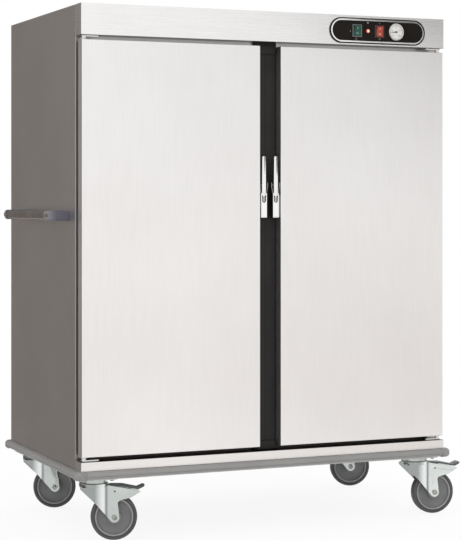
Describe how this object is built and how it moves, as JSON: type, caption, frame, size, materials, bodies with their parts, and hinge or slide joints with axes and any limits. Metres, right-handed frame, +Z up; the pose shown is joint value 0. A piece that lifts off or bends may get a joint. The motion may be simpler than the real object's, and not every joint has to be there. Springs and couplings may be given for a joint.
{
  "type": "heated holding cart",
  "caption": "Tall stainless steel heated cabinet on swivel casters with two outward doors, tray racks inside, a bumper round the base and a control panel on top.",
  "frame": {"origin": "on the floor under the middle of the cabinet, so the wheels touch z = 0", "axes": "+Z up, -Y is the side with the doors, +X to the right when facing the doors"},
  "size_m": [1.5803, 0.892, 1.831],
  "materials": {
    "satin_stainless": "satin, fine horizontal grain",
    "inner_stainless": "smooth mill finish",
    "galvanised_frame": "zinc plated",
    "mineral_wool": "fibrous",
    "foam_core": "rigid foam",
    "gasket_rubber": "matt black",
    "bush_nylon": "white nylon",
    "chrome_latch": "bright chrome",
    "fan_metal": "pressed",
    "black_profile": "fine satin black",
    "hinge_steel": "bright stainless",
    "handle_tube": "polished stainless tube",
    "handle_plastic": "blue-grey moulded plastic",
    "bumper_grey": "satin grey",
    "corner_grey": "stippled grey",
    "zinc_plate": "zinc plated pressed steel",
    "bolt_zinc": "zinc plated",
    "wheel_grey": "grey hub and grey rubber tyre",
    "pedal_dark": "dark zinc",
    "bezel_chrome": "polished",
    "panel_black": "black",
    "frame_plastic": "dark grey",
    "green_plastic": "translucent green",
    "red_plastic": "translucent red",
    "lamp_lens": "clear orange lens",
    "dial_white": "white face in a bright case under a clear window",
    "needle_black": "black",
    "motor_metal": "grey",
    "heater_sheath": "dark heated sheath",
    "gland_plastic": "black nylon"
  },
  "bodies": {
    "cabinet": {"left_side_panel": "satin_stainless", "right_side_panel": "satin_stainless", "back_panel": "satin_stainless", "top_panel": "satin_stainless", "header_fascia": "satin_stainless", "plinth": "satin_stainless", "under_pan": "inner_stainless", "left_liner": "inner_stainless", "right_liner": "inner_stainless", "tray_racks": "inner_stainless", "air_baffles": "inner_stainless", "chassis_frame": "galvanised_frame", "insulation_slabs": "mineral_wool", "mullion_cover": "black_profile", "mullion_end_caps": "black_profile", "hinge_plates": "hinge_steel", "handle_bars": "handle_tube", "handle_ends": "handle_plastic", "long_bumpers": "bumper_grey", "short_bumpers": "bumper_grey", "bumper_corners": "corner_grey", "caster_heads": "zinc_plate", "caster_bolts": "bolt_zinc", "control_bezel": "bezel_chrome", "control_plate": "panel_black", "rocker_frames": "frame_plastic", "pilot_lamp": "lamp_lens", "dial_case": "dial_white", "fan_motors": "motor_metal", "heater_elements": "heater_sheath", "mains_gland": "gland_plastic"},
    "left_door": {"left_door_skin": "satin_stainless", "left_door_liner": "inner_stainless", "left_door_core": "foam_core", "left_door_gasket": "gasket_rubber", "left_door_bushes": "bush_nylon", "left_latch_housing": "chrome_latch"},
    "left_latch": {"left_latch_lever": "chrome_latch"},
    "left_fan": {"left_fan": "fan_metal"},
    "right_door": {"right_door_skin": "satin_stainless", "right_door_liner": "inner_stainless", "right_door_core": "foam_core", "right_door_gasket": "gasket_rubber", "right_door_bushes": "bush_nylon", "right_latch_housing": "chrome_latch"},
    "right_latch": {"right_latch_lever": "chrome_latch"},
    "right_fan": {"right_fan": "fan_metal"},
    "front_left_swivel": {"front_left_fork": "zinc_plate"},
    "front_left_wheel": {"front_left_wheel": "wheel_grey"},
    "front_right_swivel": {"front_right_fork": "zinc_plate"},
    "front_right_wheel": {"front_right_wheel": "wheel_grey"},
    "rear_left_swivel": {"rear_left_fork": "zinc_plate"},
    "rear_left_wheel": {"rear_left_wheel": "wheel_grey"},
    "rear_right_swivel": {"rear_right_fork": "zinc_plate"},
    "rear_right_wheel": {"rear_right_wheel": "wheel_grey"},
    "front_left_pedal": {"front_left_pedal": "pedal_dark"},
    "front_right_pedal": {"front_right_pedal": "pedal_dark"},
    "green_rocker": {"green_rocker": "green_plastic"},
    "red_rocker": {"red_rocker": "red_plastic"},
    "needle": {"dial_needle": "needle_black"}
  },
  "joints": [
    {"name": "left_door_hinge", "type": "hinge", "parent": "cabinet", "child": "left_door", "pos_m": [-0.685, -0.402, 1.0025], "axis": [0, 0, -1], "range_deg": [0, 180]},
    {"name": "left_latch_pivot", "type": "hinge", "parent": "left_door", "child": "left_latch", "pos_m": [-0.023, -0.405, 1.218], "axis": [1, 0, 0], "range_deg": [0, 15], "stiffness_Nm_per_rad": 0.6, "springref_deg": -17.19},
    {"name": "right_door_hinge", "type": "hinge", "parent": "cabinet", "child": "right_door", "pos_m": [0.685, -0.402, 1.0025], "axis": [0, 0, 1], "range_deg": [0, 180]},
    {"name": "right_latch_pivot", "type": "hinge", "parent": "right_door", "child": "right_latch", "pos_m": [0.023, -0.405, 1.218], "axis": [1, 0, 0], "range_deg": [0, 15], "stiffness_Nm_per_rad": 0.6, "springref_deg": -17.19},
    {"name": "front_left_swivel_turn", "type": "hinge", "parent": "cabinet", "child": "front_left_swivel", "pos_m": [-0.628, -0.337, 0.19], "axis": [0, 0, 1], "continuous": true},
    {"name": "front_left_wheel_spin", "type": "hinge", "parent": "front_left_swivel", "child": "front_left_wheel", "pos_m": [-0.56135, -0.35486, 0.08], "axis": [0.2588, 0.9659, 0], "continuous": true},
    {"name": "front_right_swivel_turn", "type": "hinge", "parent": "cabinet", "child": "front_right_swivel", "pos_m": [0.628, -0.337, 0.19], "axis": [0, 0, 1], "continuous": true},
    {"name": "front_right_wheel_spin", "type": "hinge", "parent": "front_right_swivel", "child": "front_right_wheel", "pos_m": [0.69633, -0.3466, 0.08], "axis": [0.1392, 0.9903, 0], "continuous": true},
    {"name": "rear_left_swivel_turn", "type": "hinge", "parent": "cabinet", "child": "rear_left_swivel", "pos_m": [-0.628, 0.337, 0.19], "axis": [0, 0, 1], "continuous": true},
    {"name": "rear_left_wheel_spin", "type": "hinge", "parent": "rear_left_swivel", "child": "rear_left_wheel", "pos_m": [-0.56135, 0.31914, 0.08], "axis": [0.2588, 0.9659, 0], "continuous": true},
    {"name": "rear_right_swivel_turn", "type": "hinge", "parent": "cabinet", "child": "rear_right_swivel", "pos_m": [0.628, 0.337, 0.19], "axis": [0, 0, 1], "continuous": true},
    {"name": "rear_right_wheel_spin", "type": "hinge", "parent": "rear_right_swivel", "child": "rear_right_wheel", "pos_m": [0.69398, 0.31683, 0.08], "axis": [0.2924, 0.9563, 0], "continuous": true},
    {"name": "front_left_brake_press", "type": "hinge", "parent": "front_left_swivel", "child": "front_left_pedal", "pos_m": [-0.56039, -0.35512, 0.17], "axis": [0.2588, 0.9659, 0], "range_deg": [0, 8]},
    {"name": "front_right_brake_press", "type": "hinge", "parent": "front_right_swivel", "child": "front_right_pedal", "pos_m": [0.69732, -0.34674, 0.17], "axis": [0.1392, 0.9903, 0], "range_deg": [0, 8]},
    {"name": "green_switch_rock", "type": "hinge", "parent": "cabinet", "child": "green_rocker", "pos_m": [0.342, -0.426, 1.776], "axis": [-1, 0, 0], "range_deg": [0, 16]},
    {"name": "red_switch_rock", "type": "hinge", "parent": "cabinet", "child": "red_rocker", "pos_m": [0.433, -0.426, 1.776], "axis": [-1, 0, 0], "range_deg": [0, 16]},
    {"name": "needle_turn", "type": "hinge", "parent": "cabinet", "child": "needle", "pos_m": [0.4975, -0.432, 1.776], "axis": [0, 1, 0], "range_deg": [0, 215]},
    {"name": "left_fan_spin", "type": "hinge", "parent": "cabinet", "child": "left_fan", "pos_m": [-0.36075, 0.1, 1.66], "axis": [0, 0, 1], "continuous": true},
    {"name": "right_fan_spin", "type": "hinge", "parent": "cabinet", "child": "right_fan", "pos_m": [0.36075, 0.1, 1.66], "axis": [0, 0, 1], "continuous": true}
  ]
}
